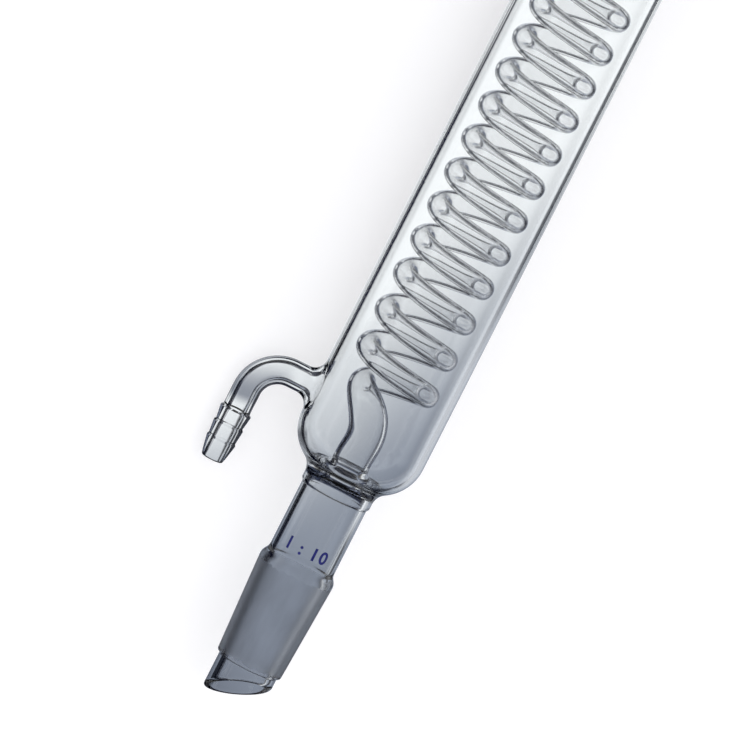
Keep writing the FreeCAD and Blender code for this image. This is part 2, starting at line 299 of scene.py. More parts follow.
def outside_rim(radius, angle, height):
    """Where the painted edge shade starts. Away from the hoses, near the lower end, it is held back so that
    those edges look lit. A band round the front of the ring seal, and its bore, get painted shade.
    """
    if radius < SEAL_BORE and SEAL_SPAN[0] < height < SEAL_SPAN[1]:
        return bore_rim(radius, height)
    front = -math.sin(angle)
    away = math.cos(angle)
    over = abs(height - BAND_HEIGHT - BAND_LEAN * front)
    if front > BAND_START and away < BAND_END and over < BAND_HALF:
        return DARK_RIM
    side = clamped((away - LIGHT_SIDE) / LIGHT_SIDE_FADE)
    return WIDE_RIM + LIGHT_RIM * side * clamped((LIGHT_TOP - height) / LIGHT_FADE)


def inside_rim(radius, angle, height):
    """The jacket's inside gets painted edge shade only at the flat of a ring seal."""
    return SEAL_RIM if height < SEAL_FLAT else NO_RIM


def bore_rim(radius, height):
    """Painted shade on the ring seal's bore: where it narrows and closes the neck, its edges darken at nearly
    any angle, and over its thick glass it is painted dark all over.
    """
    if radius < SEAL_LIP:
        return CLOSED_RIM if height < SEAL_CLOSED else DROP_RIM
    return DARK_RIM if height > SEAL_THICK else WIDE_RIM


def between(a, b, t):
    return tuple(p + (q - p) * t for p, q in zip(a, b))


def shares(steps):
    return [step / steps for step in range(1, steps + 1)]


def stretch(run, end, gap=LONG_GAP):
    """Carries a run on in a straight line, with close points at both ends."""
    start = run[-1]
    span = math.dist(start[:2], end[:2])
    lead = min(EDGE_LEAD, span / 4)
    steps = max(1, math.ceil((span - 2 * lead) / gap))
    marks = [lead + (span - 2 * lead) * step / steps for step in range(steps + 1)] + [span]
    run += [between(start, end, mark / span) for mark in marks]


def arc(run, end, centre, steps):
    """Carries a run on in a part of a circle, the short way round."""
    start = run[-1]
    first = math.atan2(start[1] - centre[1], start[0] - centre[0])
    last = math.atan2(end[1] - centre[1], end[0] - centre[0])
    turn = (last - first + math.pi) % (2 * math.pi) - math.pi
    size = math.dist(start[:2], centre)
    for t in shares(steps)[:-1]:
        angle = first + turn * t
        _, _, ground, slant = between(start, end, t)
        run.append((centre[0] + size * math.cos(angle), centre[1] + size * math.sin(angle), ground, slant))
    run.append(end)


def eased(run, end, steps=8):
    """Carries a run on in an S that leaves and arrives along the axis."""
    start = run[-1]
    half = (start[1] + end[1]) / 2
    for t in shares(steps):
        blend = t * t * (3 - 2 * t)
        height = (1 - t) ** 3 * start[1] + 3 * (1 - t) * t * half + t**3 * end[1]
        run.append((start[0] + (end[0] - start[0]) * blend, height, 0.0, start[3] + (end[3] - start[3]) * t))


def seals(jacket):
    """Heights of both ring seals and of the middle between them."""
    upper = jacket.lower_seal + jacket.length
    return jacket.lower_seal, upper, (jacket.lower_seal + upper) / 2


def flipped(run, middle):
    """The same run at the other end of the jacket, in reverse order."""
    return [(r, 2 * middle - z, ground, slant) for r, z, ground, slant in reversed(run)]


def mirrored_wall(run, radius, jacket, hose):
    """Carries a half section up a jacket wall and down the other end. Gives the rows of both holes too."""
    _, _, middle = seals(jacket)
    first = len(run) - 2
    run = run + [point(radius, jacket.lower_seal + hose.height + row) for row in HOLE_ROWS]
    last = len(run) - 1
    stretch(run, point(radius, middle))
    end = 2 * len(run) - 2
    return run + flipped(run[:-1], middle), [(first, last), (end - last, end - first)]


def outer_wall(jacket, hose):
    """Outside of the glass from the lower neck to the upper neck, symmetric about the middle."""
    seal = jacket.lower_seal
    bead = point(jacket.seal_radius, seal + jacket.seal_step)
    centre_r = jacket.radius - jacket.shoulder_radius
    centre_z = seal + jacket.shoulder_rise
    reach = jacket.shoulder_radius + jacket.shoulder_fillet
    fillet_r = jacket.seal_radius + jacket.shoulder_fillet
    drop = math.sqrt(reach**2 - (fillet_r - centre_r) ** 2)
    part = jacket.shoulder_radius / reach
    foot = point(jacket.seal_radius, centre_z - drop)
    tangent = point(centre_r + (fillet_r - centre_r) * part, centre_z - drop * part)
    run = [point(jacket.neck_radius, seal - jacket.seal_step)]
    eased(run, bead)
    stretch(run, foot)
    arc(run, tangent, (fillet_r, centre_z - drop), 20)
    arc(run, point(jacket.radius, centre_z), (centre_r, centre_z), 18)
    return mirrored_wall(run[1:], jacket.radius, jacket, hose)


def water_wall(jacket, coil, hose):
    """Inside of the jacket, from the lower drop tube's end to the upper one's."""
    seal = jacket.lower_seal
    flare_z = seal + jacket.flare_height
    bend = jacket.flare_radius
    flare_r = coil.drop_radius + bend
    centre_r = jacket.radius - jacket.shoulder_radius
    centre_z = seal + jacket.shoulder_rise
    inner = jacket.radius - jacket.wall
    sweep = jacket.shoulder_radius - jacket.wall
    groove_r = flare_r + jacket.seal_groove
    groove = point(groove_r, centre_z - math.sqrt(sweep**2 - (groove_r - centre_r) ** 2))
    top = point(coil.drop_radius, seal + coil.drop_length)
    turn = point(coil.drop_radius, flare_z + bend)
    run = [top]
    stretch(run, turn)
    arc(run, point(flare_r, flare_z), (flare_r, flare_z + bend), 8)
    stretch(run, groove)
    arc(run, point(inner, centre_z), (centre_r, centre_z), 20)
    return mirrored_wall(run, inner, jacket, hose)


def drop_bore(jacket, coil):
    """Inside of the lower drop tube down to the neck."""
    seal = jacket.lower_seal
    inner = coil.drop_radius - coil.drop_wall
    neck = jacket.neck_radius - jacket.neck_wall
    bend = jacket.flare_radius
    flare_z = seal + jacket.flare_height - jacket.seal_glass
    flare_r = inner + bend
    lip = neck - flare_r
    top = point(inner, seal + coil.drop_length)
    turn = point(inner, flare_z + bend)
    run = [top]
    stretch(run, turn)
    arc(run, point(flare_r, flare_z), (flare_r, flare_z + bend), 8)
    arc(run, point(neck, flare_z - lip), (flare_r, flare_z - lip), 6)
    return run


def lower_joint(joint, jacket):
    """Down the bore of the lower neck and cone, round the drip tip's rim and up to the neck."""
    neck = jacket.neck_radius - jacket.neck_wall
    small = joint.gauge_radius - joint.taper * joint.ground_length
    low = -joint.ground_length
    tip_z = low - joint.tip_step
    tip_inner = joint.tip_radius - joint.tip_wall
    cut = low - joint.tip_length
    soft = joint.tip_polish
    rim = cut + soft
    run = [point(neck, jacket.lower_seal)]
    stretch(run, point(neck, joint.shoulder))
    eased(run, point(joint.gauge_radius - joint.cone_wall, 0.0))
    stretch(run, point(small - joint.cone_wall, low))
    eased(run, point(tip_inner, tip_z))
    stretch(run, point(tip_inner, rim, 0.0, 1.0), TIP_GAP)
    arc(run, point(tip_inner + soft, cut, 0.0, 1.0), (tip_inner + soft, rim), 6)
    stretch(run, point(joint.tip_radius - soft, cut, 0.0, 1.0))
    arc(run, point(joint.tip_radius, rim, 0.0, 1.0), (joint.tip_radius - soft, rim), 6)
    stretch(run, point(joint.tip_radius, tip_z), TIP_GAP)
    eased(run, point(small, low))
    run[-1] = point(small, low, EDGE_GROUND)
    fade = joint.ground_fade
    stretch(run, point(small + joint.taper * fade, low + fade, 1.0), FADE_GAP)
    stretch(run, point(joint.gauge_radius - joint.taper * fade, -fade, 1.0), GROUND_GAP)
    stretch(run, point(joint.gauge_radius, 0.0, EDGE_GROUND), FADE_GAP)
    eased(run, point(jacket.neck_radius, joint.shoulder))
    stretch(run, point(jacket.neck_radius, jacket.lower_seal - jacket.seal_step))
    return run[1:]


def upper_joint(joint, jacket):
    """Up the outside of the upper neck and socket, over the rim and down the bore."""
    _, seal, _ = seals(jacket)
    neck_top = seal + jacket.upper_neck
    bottom = neck_top + joint.shoulder
    mouth = bottom + joint.ground_length
    small = joint.gauge_radius - joint.taper * joint.ground_length
    rim = joint.gauge_radius + joint.socket_wall
    bead = rim + joint.rim_bead
    soft = min(joint.socket_wall, joint.rim_height) / 2
    run = [point(jacket.neck_radius, seal + jacket.seal_step)]
    stretch(run, point(jacket.neck_radius, neck_top))
    eased(run, point(small + joint.socket_wall, bottom))
    stretch(run, point(rim, mouth - joint.rim_height))
    eased(run, point(bead, mouth - soft))
    arc(run, point(bead - soft, mouth), (bead - soft, mouth - soft), 8)
    stretch(run, point(joint.gauge_radius + MOUTH_EDGE, mouth))
    run.append(point(joint.gauge_radius, mouth - MOUTH_EDGE, 1.0))
    stretch(run, point(small, bottom, 1.0), GROUND_GAP)
    eased(run, point(jacket.neck_radius - jacket.neck_wall, neck_top))
    return run[1:]


class Skin:
    """Points and faces of the glass surface, in metres about its own axis."""

    def __init__(self):
        self.spots = []
        self.ground = []
        # Where each point's painted edge shade starts
        self.painted_shade_starts = []
        self.faces = []

    def ring(self, points, ground=0.0, rim=SLIM_RIM):
        first = len(self.spots)
        self.spots.extend(points)
        self.ground.extend([ground] * len(points))
        self.painted_shade_starts.extend(rim if isinstance(rim, list) else [rim] * len(points))
        return list(range(first, first + len(points)))

    def join(self, low, high, skipped=()):
        count = len(low)
        for i in range(count):
            if i not in skipped:
                j = (i + 1) % count
                self.faces.append((low[i], low[j], high[j], high[i]))

    def grow(self, last, points, rim=SLIM_RIM):
        """A new ring, joined to the last one."""
        ring = self.ring(points, 0.0, rim)
        self.join(last, ring)
        return ring

    def narrow(self, wide, slim):
        """Joins a ring to one with a third as many points."""
        count = len(slim)
        for i in range(count):
            j = 3 * i
            self.faces.append((wide[j - 1], wide[j], slim[i]))
            self.faces.append((wide[j], wide[j + 1], slim[i]))
            self.faces.append((wide[j + 1], wide[j + 2], slim[(i + 1) % count], slim[i]))

    def turned(self, run, slope, holes, painted_shade_of):
        """Rings for a half section, joined up apart from the holes. Gives all rings."""
        rings = []
        middle = AXIS_SIDES // 2
        columns = range(middle - HOLE_COLUMNS, middle + HOLE_COLUMNS)
        angles = [2 * math.pi * side / AXIS_SIDES for side in range(AXIS_SIDES)]
        for row, (radius, height, ground, slant) in enumerate(run):
            flat = [(radius * math.cos(angle), radius * math.sin(angle)) for angle in angles]
            points = [Vector((x, y, height + slant * (slope[0] * x + slope[1] * y))) for x, y in flat]
            rings.append(self.ring(points, ground, [painted_shade_of(radius, angle, height) for angle in angles]))
            if row:
                opened = any(first < row <= last for first, last in holes)
                self.join(rings[-2], rings[-1], columns if opened else ())
        return rings

    def rim(self, rings, hole):
        """Points round a hole, in order."""
        first, last = hole
        left = AXIS_SIDES // 2 - HOLE_COLUMNS
        right = AXIS_SIDES // 2 + HOLE_COLUMNS
        top = [rings[last][column] for column in range(left, right)]
        side = [rings[row][right] for row in range(last, first, -1)]
        bottom = [rings[first][column] for column in range(right, left, -1)]
        back = [rings[row][left] for row in range(first, last)]
        return top + side + bottom + back


def wall_radius(height, radius, torus, jacket):
    """Radius of a jacket wall at a height, shoulders included."""
    _, _, middle = seals(jacket)
    low = min(height, 2 * middle - height)
    below = jacket.lower_seal + jacket.shoulder_rise - low
    if below <= 0:
        return radius
    return radius - torus + math.sqrt(torus**2 - below**2)


def flare(skin, rim, height, radius, torus, tube, fillet, jacket):
    """Draws the wall out into a tube. Gives the tube's first ring and the angle of each point."""
    flat = []
    for index in rim:
        spot = skin.spots[index]
        flat.append((radius * math.asin(spot.y / math.hypot(spot.x, spot.y)), spot.z - height))
    angles = [math.atan2(u, w) for u, w in flat]
    foot = tube + fillet
    ring = rim
    for t in shares(4):
        points = []
        for spot, angle in zip(flat, angles):
            edge = (radius * math.asin(foot * math.sin(angle) / radius), foot * math.cos(angle))
            u, w = between(spot, edge, t)
            size = wall_radius(height + w, radius, torus, jacket)
            turn = u / radius
            points.append(Vector((-size * math.cos(turn), size * math.sin(turn), height + w)))
        ring = skin.grow(ring, points)
    for t in shares(10):
        weights = ((1 - t) ** 3, 3 * (1 - t) ** 2 * t, 3 * (1 - t) * t * t, t**3)
        points = []
        for angle in angles:
            sine = math.sin(angle)
            first = (foot, math.sqrt(radius**2 - (foot * sine) ** 2))
            corner = (tube, first[1] + foot * sine * sine / first[1] * fillet)
            last = (tube, corner[1] + fillet)
            poles = (first, between(first, corner, ARC_PULL), between(last, corner, ARC_PULL), last)
            wide = sum(weight * pole[0] for weight, pole in zip(weights, poles))
            out = sum(weight * pole[1] for weight, pole in zip(weights, poles))
            points.append(Vector((-out, wide * sine, height + wide * math.cos(angle))))
        ring = skin.grow(ring, points)
    return ring, angles


def hook(hose, height, start):
    """Stations along a hose connection: the middle, and the direction that starts upwards."""
    turn = hose.reach - hose.bend
    stations = []
    for t in shares(max(2, math.ceil((turn - start) / HOOK_GAP))):
        out = start + (turn - start) * t
        stations.append((Vector((-out, 0, height)), Vector((0, 0, 1))))
    for t in shares(22):
        angle = math.pi / 2 * t
        middle = Vector((-turn - hose.bend * math.sin(angle), 0, height - hose.bend * (1 - math.cos(angle))))
        stations.append((middle, Vector((-math.sin(angle), 0, math.cos(angle)))))
    for t in shares(5):
        middle = Vector((-hose.reach, 0, height - hose.bend - hose.leg * t))
        stations.append((middle, Vector((-1, 0, 0))))
    return stations


def softened(points, rounding, steps=4):
    """A line of points with its corners rounded."""
    run = [points[0]]
    for before, here, after in zip(points, points[1:], points[2:]):
        back = min(rounding, math.dist(before, here) / 2.2)
        ahead = min(rounding, math.dist(here, after) / 2.2)
        a = between(here, before, back / math.dist(before, here))
        b = between(here, after, ahead / math.dist(here, after))
        run += [between(between(a, here, t), between(here, b, t), t) for t in [0.0] + shares(steps)]
    return run + [points[-1]]


def ridges(hose):
    """Half section of the ridged end, down from the leg: radius and drop."""
    drop = 0.0
    points = [(hose.tube_radius, 0.0)]
    for radius in hose.ridge_radii:
        drop += hose.ridge_rise
        points.append((radius, drop))
        drop += hose.ridge_taper
        points.append((hose.valley_radius, drop))
    drop += hose.nose_length - hose.ridge_taper
    points[-1] = (hose.nose_radius, drop)
    soft = softened(points, hose.ridge_rounding)
    lip = (hose.nose_radius - hose.bore_radius) / 2
    run = soft[1:-1] + [between(soft[-2], soft[-1], t) for t in (0.25, 0.5, 0.75)]
    for t in [0.0] + shares(8):
        angle = math.pi * t
        run.append((hose.bore_radius + lip + lip * math.cos(angle), drop - lip + lip * math.sin(angle)))
    return run


def hose_connection(skin, outer, inner, height, jacket, hose):
    """One hose connection, from the hole in the jacket's outside to the hole in its inside."""

    def circle(middle, up, radius, angles):
        side = Vector((0, 1, 0))
        return [middle + radius * (side * math.sin(a) + up * math.cos(a)) for a in angles]

    thin = jacket.radius - jacket.wall
    torus = jacket.shoulder_radius
    last, angles = flare(skin, outer, height, jacket.radius, torus, hose.tube_radius, hose.fillet, jacket)
    bore, bore_angles = flare(
        skin, inner, height, thin, torus - jacket.wall, hose.bore_radius, hose.inner_fillet, jacket
    )
    for middle, up in hook(hose, height, jacket.radius + hose.fillet):
        last = skin.grow(last, circle(middle, up, hose.tube_radius, angles))
    foot = Vector((-hose.reach, 0, height - hose.bend - hose.leg))
    out = Vector((-1, 0, 0))
    down = ridges(hose)
    for radius, drop in down:
        last = skin.grow(last, circle(foot - Vector((0, 0, drop)), out, radius, angles), RIDGE_RIM)
    for t in shares(10):
        middle = foot - Vector((0, 0, down[-1][1] * (1 - t)))
        last = skin.grow(last, circle(middle, out, hose.bore_radius, angles))
    way_back = hook(hose, height, thin + hose.inner_fillet)[:-1]
    for t, (middle, up) in zip(shares(len(way_back)), reversed(way_back)):
        mixed = between(angles, bore_angles, t)
        last = skin.grow(last, circle(middle, up, hose.bore_radius, mixed))
    skin.join(last, bore)


def coil_line(jacket, coil):
    """Stations of the vapour tube from drop tube to drop tube: middle, heading, how near the drop tube."""
    seal, upper, _ = seals(jacket)
    climb = jacket.length - 2 * coil.end_height
    total = 2 * coil.end_turns + (climb - 2 * coil.end_turns * coil.end_pitch) / coil.pitch
    radius = coil.winding_radius

    def spot(turns):
        angle = coil.end_angle - 2 * math.pi * turns
        wide = min(turns, coil.end_turns) + max(0.0, turns - (total - coil.end_turns))
        height = seal + coil.end_height + wide * coil.end_pitch + (turns - wide) * coil.pitch
        return Vector((radius * math.cos(angle), radius * math.sin(angle), height))

    def heading(turns):
        step = 0.001
        low = max(0.0, turns - step)
        high = min(total, turns + step)
        return (spot(high) - spot(low)).normalized()

    def bend(turns, away, stub, outwards):
        start = spot(turns)
        across = Vector((start.x, start.y, 0)).normalized()
        swing = stub + outwards * coil.bend_swing_height - across * coil.bend_swing
        near_stub = stub + outwards * coil.bend_drop_side
        poles = (start, start + away * coil.bend_coil_side, swing, near_stub, stub)
        run = []
        for t in shares(40):
            level = poles
            while len(level) > 2:
                level = [a.lerp(b, t) for a, b in zip(level, level[1:])]
            run.append((level[0].lerp(level[1], t), (level[1] - level[0]).normalized(), t))
        return run

    up = Vector((0, 0, 1))
    lower = bend(0.0, -heading(0.0), Vector((0, 0, seal + coil.drop_length)), up)
    count = round(total * coil.stations)
    winding = [(spot(total * step / count), heading(total * step / count), 0.0) for step in range(count + 1)]
    top = bend(total, heading(total), Vector((0, 0, upper - coil.drop_length)), -up)
    return [(middle, -along, t) for middle, along, t in reversed(lower)] + winding + top


def tube_size(t, coil_size, drop_size, taper):
    grown = clamped(t / taper)
    return coil_size + (drop_size - coil_size) * grown * grown * (3 - 2 * grown)


def coil_sides(line):
    """Where each ring of the tube starts: on +x in both drop tubes, with the twist spread evenly."""
    side = Vector((1, 0, 0))
    sides = [side]
    for (_, along, _), (_, ahead, _) in zip(line, line[1:]):
        side = along.rotation_difference(ahead) @ side
        side = (side - ahead * side.dot(ahead)).normalized()
        sides.append(side)
    seam = Vector((1, 0, 0))
    last = line[-1][1]
    twist = math.atan2(side.cross(seam).dot(last), side.dot(seam))
    spread = []
    for step, (side, (_, along, _)) in enumerate(zip(sides, line)):
        spread.append(Matrix.Rotation(twist * step / (len(line) - 1), 3, along) @ side)
    return spread


def wind(skin, line, sides, rings, coil_size, drop_size, taper):
    """One surface of the vapour tube, joined to the ends of both drop tubes."""
    angles = [2 * math.pi * step / TUBE_SIDES for step in range(TUBE_SIDES)]
    last = None
    for (middle, along, t), side in zip(line, sides):
        across = along.cross(side)
        radius = tube_size(t, coil_size, drop_size, taper)
        points = [middle + radius * (side * math.cos(a) + across * math.sin(a)) for a in angles]
        # The painted edge shade starts sooner towards the drop tubes
        rim = SLIM_RIM + (DROP_RIM - SLIM_RIM) * t
        if last is None:
            last = skin.ring(points, 0.0, rim)
            skin.narrow(rings[0], last)
        else:
            last = skin.grow(last, points, rim)
    skin.narrow(rings[-1], last)


def glass_skin(scene):
    """The whole closed glass surface."""
    joint = scene.condenser_joint
    jacket = scene.condenser_jacket
    coil = scene.condenser_coil
    hose = scene.condenser_hose
    skin = Skin()
    slope = (joint.tip_slope_x, joint.tip_slope_y)
    bore = drop_bore(jacket, coil)
    below = lower_joint(joint, jacket)
    outside, holes = outer_wall(jacket, hose)
    above = upper_joint(joint, jacket)
    _, _, middle = seals(jacket)
    neck_line = bore[-1][1]
    below = [p for p in below[:-1] if not (p[1] > neck_line - EDGE_LEAD and p[0] < bore[-1][0] + EDGE_LEAD)]
    below += [point(jacket.neck_radius, jacket.lower_seal - jacket.seal_step)]
    upper_bore = flipped(bore, middle)
    run = bore + below + outside + above
    stretch(run, upper_bore[0])
    run = run[:-1] + upper_bore
    offset = len(bore) + len(below)
    outer_holes = [(first + offset, last + offset) for first, last in holes]
    rings = skin.turned(run, slope, outer_holes, outside_rim)
    water, water_holes = water_wall(jacket, coil, hose)
    water_rings = skin.turned(water, slope, water_holes, inside_rim)
    line = coil_line(jacket, coil)
    sides = coil_sides(line)
    wind(skin, line, sides, water_rings, coil.tube_radius, coil.drop_radius, coil.bend_taper)
    thin = coil.tube_radius - coil.tube_wall
    wind(skin, line, sides, rings, thin, coil.drop_radius - coil.drop_wall, coil.bend_taper)
    lower = jacket.lower_seal + hose.height
    for height, outer, inner in zip((lower, 2 * middle - lower), outer_holes, water_holes):
        hose_connection(skin, skin.rim(rings, outer), skin.rim(water_rings, inner), height, jacket, hose)
    return skin


def rest_roll(scene):
    """How far the glass is rolled when the jacket and the widest ridges lie on one bench."""
    hose = scene.condenser_hose
    return math.asin((scene.condenser_jacket.radius - max(hose.ridge_radii)) / hose.reach)


def laid_down(scene):
    """From the glass's own axis frame to the bench."""
    level = math.cos(rest_roll(scene))
    sink = math.sin(rest_roll(scene))
    return Matrix(((0, 0, 1, 0), (-level, -sink, 0, 0), (sink, -level, 0, 0), (0, 0, 0, 1)))


def new_piece(name, mesh, material):
    mesh.materials.append(material)
    piece = bpy.data.objects.new(name, mesh)
    bpy.context.scene.collection.objects.link(piece)
    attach(piece, "root")
    return piece


# Materials and lights

WHITE = (1.0, 1.0, 1.0, 1.0)
BLACK = (0.0, 0.0, 0.0, 1.0)

# The room as anything but glass meets it, the panel and the boards that glass shows, and the painted white
# glow that the bench shows through glass in place of a reflector card
PLAIN_ROOM = (0.62, 0.62, 0.64, 1.0)
PANEL = (1.06, 1.06, 1.06, 1.0)
BOARD = (0.012, 0.014, 0.03, 1.0)
PAINTED_GLOW = (0.8, 0.84, 0.9, 1.0)

# Painted shade that the bench shows through glass beside the hook, and under its leg
HOOK_SHADE = (0.06, 0.065, 0.08, 1.0)
LEG_SHADE = (0.05, 0.07, 0.13, 1.0)

# Patches of painted light and shade on the bench: smooth steps along X or Y, from place to place in metres,
# from level to level
LOW_END = ("X", 0.008, 0.014, 0.0, 1.0)
HOOK_PATCH = (("Y", 0.018, 0.024, 0.0, 1.0), LOW_END, ("X", 0.062, 0.075, 1.0, 0.0))
LEG_PATCH = (("X", 0.0355, 0.0395, 0.0, 1.0), ("X", 0.040, 0.054, 0.72, 0.15)) + HOOK_PATCH
GAP_PATCH = (
    ("Y", 0.011, 0.014, 0.0, 1.0),
    ("Y", 0.027, 0.029, 1.0, 0.0),
    ("X", 0.032, 0.037, 0.85, 0.0),
    LOW_END,
)
PAINTED_GLOW_PATCH = (("Y", -0.045, -0.034, 1.0, 0.0), ("X", 0.06, 0.12, 0.65, 0.0), ("X", 0.002, 0.016, 0.0, 1.0))

# The painted light and shade that the bench shows through glass: its middle, its slant, its rise, its fall at
# the cone, and the white beside the glass
GLOW_MIDDLE = -0.0087
GLOW_SLANT = (-0.01, 0.035, -0.6, 1.7)
GLOW_RISE = (-0.008, 0.135)
GLOW_FALL = (-0.09, -0.02)
BESIDE = (0.045, 0.07)
BESIDE_ALONG = (-0.01, 0.03, 0.05, 1.0)

# The middle of the hook's bend on the bench, and where the painted shade round it starts and is full
HOOK_MIDDLE = (0.042, 0.024)
HOOK_EDGE = (0.0150, 0.0165)

# Dark boards: how far a direction leans to the left, up, right and down where one starts and is full
BOARD_LEANS = ((0.40, 0.45), (0.30, 0.35), (0.42, 0.47), (0.5, 0.55))
BOARD_END = (0.85, 1.03)
BOARD_DEPTH = (0.32, 0.44)

# The way that stays open between the boards, for a view from above
OPEN_WAY = (0, 0.174, -0.985)
OPEN_EDGE = (0.9954, 0.9975)

# The panel fades out above the horizon
PANEL_FADE = (-0.25, 0.2, 0.1, 1.0)

# How borosilicate glass bends light, and how much of a lamp's light it lets past
GLASS_IOR = 1.47
SHADOW_CLEAR = 0.99

# Inputs of the fine mottle, and what they are unless a surface says otherwise
MOTTLE = {"Scale": 400.0, "Detail": 3.0, "Low": 0.3, "High": 0.7, "Stretch": 1.0}

# The mottle of each surface, in the same order
CHIPS = (900.0, 2.0)
WISPS = (160.0, 3.0, 0.35, 0.65, 0.35)
GRIT = (2600.0, 2.0)
ENAMEL_SPECKS = (1500.0, 2.0)
BENCH_SPECKS = (90.0, 2.0, 0.2, 0.8)

# How deep chips fray the edge of the grinding, and how much grinding makes the glass fully dull
CHIP_DEPTH = 0.7
FULLY_DULL = 0.3

# The grit of ground glass as a bump
GRIT_STRENGTH = 0.25
GRIT_HEIGHT = 0.1 * MM

# How much darker or paler the uneven spots of ground glass, enamel and bench are
WISP_SHADE = 0.72
ENAMEL_SHADE = 1.6
BENCH_SHADE = 1.01

# How dull enamel and bench are, and the light that the bench adds for the camera
ENAMEL_ROUGHNESS = (0.35, 0.55)
BENCH_ROUGHNESS = 0.8
BENCH_LIGHT = (0.26, 0.26, 0.26, 1.0)
BENCH_HALF = 6.0

# Painted edge shade is less deep on wide walls than on slim tubes
RIM_DEPTH = (0.665, WIDE_RIM, 1.0, 0.75)

# The middle of the picture, from the cone's gauge plane, and the width of the film
PICTURE_MIDDLE = (-5.4 * MM, 0, 62.8 * MM)
FILM_WIDTH = 36.0
SIGHT_END = 100.0

LIGHT_BOUNCES = 32

# Soft lamps: where they point, and the place, width, height and power of each
LAMP_TARGET = (0.1, 0, 0)
LAMPS = (
    ("window", (-0.3, 1.4, 1.3), 1.6, 1.2, 9.0),
    ("sky", (0.3, -0.5, 2.2), 2.4, 2.4, 14.0),
)


def feed(tree, made, inputs):
    """Sets a node's inputs, each to a value or to another node's output."""
    for key, value in inputs.items():
        if isinstance(value, bpy.types.NodeSocket):
            tree.links.new(value, made.inputs[key])
        else:
            made.inputs[key].default_value = value


def add(tree, kind, inputs=None, **settings):
    """A new node, set down after the ones before it in rows of ten."""
    made = tree.nodes.new(kind)
    row, column = divmod(len(tree.nodes), 10)
    made.location = (200 * column, -300 * row)
    for key, value in settings.items():
        setattr(made, key, value)
    feed(tree, made, inputs or {})
    return made


def new_material(name):
    material = bpy.data.materials.new(name)
    material.use_nodes = True
    tree = material.node_tree
    return material, tree, tree.nodes["Principled BSDF"]


def mottle_group():
    """Fine unevenness of a surface: a mask from 0 to 1 and the same as a height."""
    name = "Fine mottle"
    if name in bpy.data.node_groups:
        return bpy.data.node_groups[name]
    group = bpy.data.node_groups.new(name, "ShaderNodeTree")
    for label, value in MOTTLE.items():
        socket = group.interface.new_socket(label, in_out="INPUT", socket_type="NodeSocketFloat")
        socket.default_value = value
    for label in ("Mask", "Height"):
        group.interface.new_socket(label, in_out="OUTPUT", socket_type="NodeSocketFloat")
    given = add(group, "NodeGroupInput").outputs
    place = add(group, "ShaderNodeTexCoord").outputs["Object"]
    split = add(group, "ShaderNodeSeparateXYZ", {0: place}).outputs
    longer = sum_up(group, "MULTIPLY", split["X"], given["Stretch"])
    joined = add(group, "ShaderNodeCombineXYZ", {"X": longer, "Y": split["Y"], "Z": split["Z"]}).outputs[0]
    grain = {"Vector": joined, "Scale": given["Scale"], "Detail": given["Detail"]}
    noise = add(group, "ShaderNodeTexNoise", grain).outputs[0]
    limits = {"Value": noise, "From Min": given["Low"], "From Max": given["High"]}
    mask = add(group, "ShaderNodeMapRange", limits).outputs[0]
    add(group, "NodeGroupOutput", {"Mask": mask, "Height": noise})
    return group


def mottle(tree, values):
    return add(tree, "ShaderNodeGroup", dict(zip(MOTTLE, values)), node_tree=mottle_group()).outputs


def shaded(tint, factor):
    return [clamped(part * factor) for part in tint[:3]] + [1.0]


def mix_colour(tree, factor, first, second):
    """Mixes two colours, each a value or a socket."""
    return add(tree, "ShaderNodeMix", {0: factor, 6: first, 7: second}, data_type="RGBA").outputs[2]


def sum_up(tree, operation, first, second=0.0):
    """A sum, product or the like of two numbers, each a value or a socket."""
    return add(tree, "ShaderNodeMath", {0: first, 1: second}, operation=operation).outputs[0]


def ramp_up(tree, value, low, high, least=0.0, most=1.0):
    """A smooth step of a number from one level to another."""
    given = {"Value": value, "From Min": low, "From Max": high, "To Min": least, "To Max": most}
    return add(tree, "ShaderNodeMapRange", given, interpolation_type="SMOOTHSTEP").outputs[0]


def patch(tree, place, steps):
    """A patch of the bench: a product of smooth steps along it and across it."""
    mask = None
    for axis, *step in steps:
        edge = ramp_up(tree, place[axis], *step)
        mask = edge if mask is None else sum_up(tree, "MULTIPLY", mask, edge)
    return mask


def towards(tree, away, direction):
    """How far a ray's direction leans in a given direction, as a cosine."""
    lean = add(tree, "ShaderNodeVectorMath", {0: away, 1: direction}, operation="DOT_PRODUCT")
    return lean.outputs["Value"]


